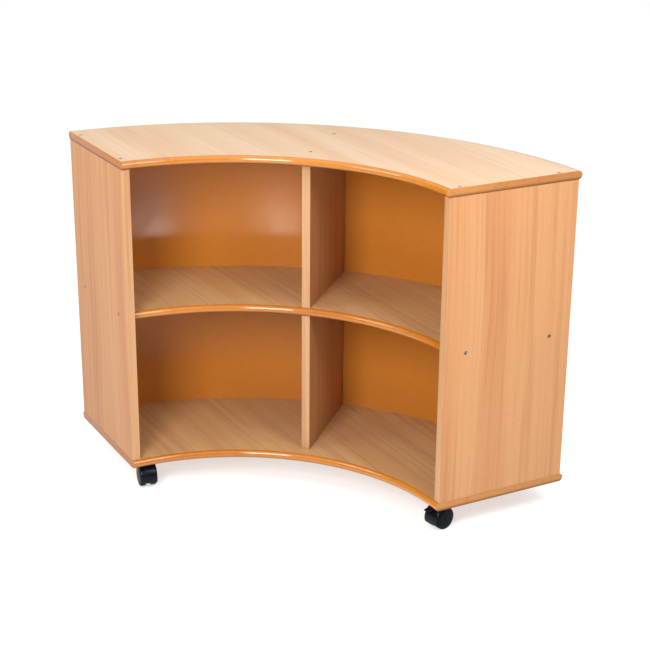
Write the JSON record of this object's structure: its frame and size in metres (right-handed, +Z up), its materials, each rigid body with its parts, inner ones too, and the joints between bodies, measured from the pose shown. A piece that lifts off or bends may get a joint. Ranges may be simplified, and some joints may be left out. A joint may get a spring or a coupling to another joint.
{
  "type": "curved mobile bookcase",
  "caption": "Low curved bookcase, a quarter ring in plan, open on its concave front, with a shelf, a divider and swivelling twin-wheel castors.",
  "frame": {"origin": "on the floor at the middle of the footprint's box, castors at rest", "axes": "+X to the right seen from the open concave front, +Y to the convex back, +Z up"},
  "size_m": [1.1368, 0.4691, 0.7548],
  "materials": {
    "beech_laminate": "satin beech-effect face, edges rounded over and lacquered",
    "beech_board": "satin beech-effect face",
    "beech_edging": "satin edging strip",
    "amber_lacquer": "gloss amber lacquer",
    "hood_plastic": "semi-gloss moulded nylon",
    "wheel_plastic": "satin moulded nylon",
    "zinc_plate": "zinc-plated pressed steel",
    "screw_steel": "zinc-plated steel"
  },
  "bodies": {
    "carcass": {"top_panel": "beech_laminate", "base_panel": "beech_laminate", "side_panel_left": "beech_board", "side_panel_right": "beech_board", "shelf": "beech_laminate", "divider_upper": "beech_board", "divider_lower": "beech_board", "back_panel": "amber_lacquer", "shelf_screw_left_front": "screw_steel", "shelf_screw_left_rear": "screw_steel", "shelf_screw_right_front": "screw_steel", "shelf_screw_right_rear": "screw_steel", "top_screw_left_front": "screw_steel", "top_screw_left_rear": "screw_steel", "top_screw_middle_front": "screw_steel", "top_screw_middle_rear": "screw_steel", "top_screw_right_front": "screw_steel", "top_screw_right_rear": "screw_steel", "castor_front_left_plate": "zinc_plate", "castor_front_right_plate": "zinc_plate", "castor_rear_left_plate": "zinc_plate", "castor_rear_right_plate": "zinc_plate", "castor_front_left_screw_1": "screw_steel", "castor_front_left_screw_2": "screw_steel", "castor_front_left_screw_3": "screw_steel", "castor_front_left_screw_4": "screw_steel", "castor_front_right_screw_1": "screw_steel", "castor_front_right_screw_2": "screw_steel", "castor_front_right_screw_3": "screw_steel", "castor_front_right_screw_4": "screw_steel", "castor_rear_left_screw_1": "screw_steel", "castor_rear_left_screw_2": "screw_steel", "castor_rear_left_screw_3": "screw_steel", "castor_rear_left_screw_4": "screw_steel", "castor_rear_right_screw_1": "screw_steel", "castor_rear_right_screw_2": "screw_steel", "castor_rear_right_screw_3": "screw_steel", "castor_rear_right_screw_4": "screw_steel"},
    "castor_front_left_swivel": {"castor_front_left_housing": "hood_plastic", "castor_front_left_axle": "screw_steel"},
    "castor_front_left_wheel_a": {"castor_front_left_wheel_a": "wheel_plastic"},
    "castor_front_left_wheel_b": {"castor_front_left_wheel_b": "wheel_plastic"},
    "castor_front_right_swivel": {"castor_front_right_housing": "hood_plastic", "castor_front_right_axle": "screw_steel"},
    "castor_front_right_wheel_a": {"castor_front_right_wheel_a": "wheel_plastic"},
    "castor_front_right_wheel_b": {"castor_front_right_wheel_b": "wheel_plastic"},
    "castor_front_right_lever": {"castor_front_right_brake_lever": "hood_plastic"},
    "castor_rear_left_swivel": {"castor_rear_left_housing": "hood_plastic", "castor_rear_left_axle": "screw_steel"},
    "castor_rear_left_wheel_a": {"castor_rear_left_wheel_a": "wheel_plastic"},
    "castor_rear_left_wheel_b": {"castor_rear_left_wheel_b": "wheel_plastic"},
    "castor_rear_left_lever": {"castor_rear_left_brake_lever": "hood_plastic"},
    "castor_rear_right_swivel": {"castor_rear_right_housing": "hood_plastic", "castor_rear_right_axle": "screw_steel"},
    "castor_rear_right_wheel_a": {"castor_rear_right_wheel_a": "wheel_plastic"},
    "castor_rear_right_wheel_b": {"castor_rear_right_wheel_b": "wheel_plastic"}
  },
  "joints": [
    {"name": "castor_front_left_swivel_turn", "type": "hinge", "parent": "carcass", "child": "castor_front_left_swivel", "pos_m": [-0.343, -0.16596, 0.045], "axis": [0, 0, 1], "continuous": true},
    {"name": "castor_front_left_wheel_a_spin", "type": "hinge", "parent": "castor_front_left_swivel", "child": "castor_front_left_wheel_a", "pos_m": [-0.33536, -0.17647, 0.025], "axis": [0.809, 0.5878, 0], "continuous": true},
    {"name": "castor_front_left_wheel_b_spin", "type": "hinge", "parent": "castor_front_left_swivel", "child": "castor_front_left_wheel_b", "pos_m": [-0.33536, -0.17647, 0.025], "axis": [0.809, 0.5878, 0], "continuous": true},
    {"name": "castor_front_right_swivel_turn", "type": "hinge", "parent": "carcass", "child": "castor_front_right_swivel", "pos_m": [0.343, -0.16596, 0.045], "axis": [0, 0, 1], "continuous": true},
    {"name": "castor_front_right_wheel_a_spin", "type": "hinge", "parent": "castor_front_right_swivel", "child": "castor_front_right_wheel_a", "pos_m": [0.33611, -0.17698, 0.025], "axis": [0.848, -0.5299, 0], "continuous": true},
    {"name": "castor_front_right_wheel_b_spin", "type": "hinge", "parent": "castor_front_right_swivel", "child": "castor_front_right_wheel_b", "pos_m": [0.33611, -0.17698, 0.025], "axis": [0.848, -0.5299, 0], "continuous": true},
    {"name": "castor_front_right_brake", "type": "hinge", "parent": "castor_front_right_swivel", "child": "castor_front_right_lever", "pos_m": [0.32869, -0.18885, 0.0532], "axis": [0.848, -0.5299, 0], "range_deg": [0, 12]},
    {"name": "castor_rear_left_swivel_turn", "type": "hinge", "parent": "carcass", "child": "castor_rear_left_swivel", "pos_m": [-0.28127, 0.11859, 0.045], "axis": [0, 0, 1], "continuous": true},
    {"name": "castor_rear_left_wheel_a_spin", "type": "hinge", "parent": "castor_rear_left_swivel", "child": "castor_rear_left_wheel_a", "pos_m": [-0.27683, 0.13081, 0.025], "axis": [-0.9397, 0.342, 0], "continuous": true},
    {"name": "castor_rear_left_wheel_b_spin", "type": "hinge", "parent": "castor_rear_left_swivel", "child": "castor_rear_left_wheel_b", "pos_m": [-0.27683, 0.13081, 0.025], "axis": [-0.9397, 0.342, 0], "continuous": true},
    {"name": "castor_rear_left_brake", "type": "hinge", "parent": "castor_rear_left_swivel", "child": "castor_rear_left_lever", "pos_m": [-0.27204, 0.14397, 0.0532], "axis": [-0.9397, 0.342, 0], "range_deg": [0, 12]},
    {"name": "castor_rear_right_swivel_turn", "type": "hinge", "parent": "carcass", "child": "castor_rear_right_swivel", "pos_m": [0.28127, 0.11859, 0.045], "axis": [0, 0, 1], "continuous": true},
    {"name": "castor_rear_right_wheel_a_spin", "type": "hinge", "parent": "castor_rear_right_swivel", "child": "castor_rear_right_wheel_a", "pos_m": [0.27791, 0.13115, 0.025], "axis": [-0.9659, -0.2588, 0], "continuous": true},
    {"name": "castor_rear_right_wheel_b_spin", "type": "hinge", "parent": "castor_rear_right_swivel", "child": "castor_rear_right_wheel_b", "pos_m": [0.27791, 0.13115, 0.025], "axis": [-0.9659, -0.2588, 0], "continuous": true}
  ]
}
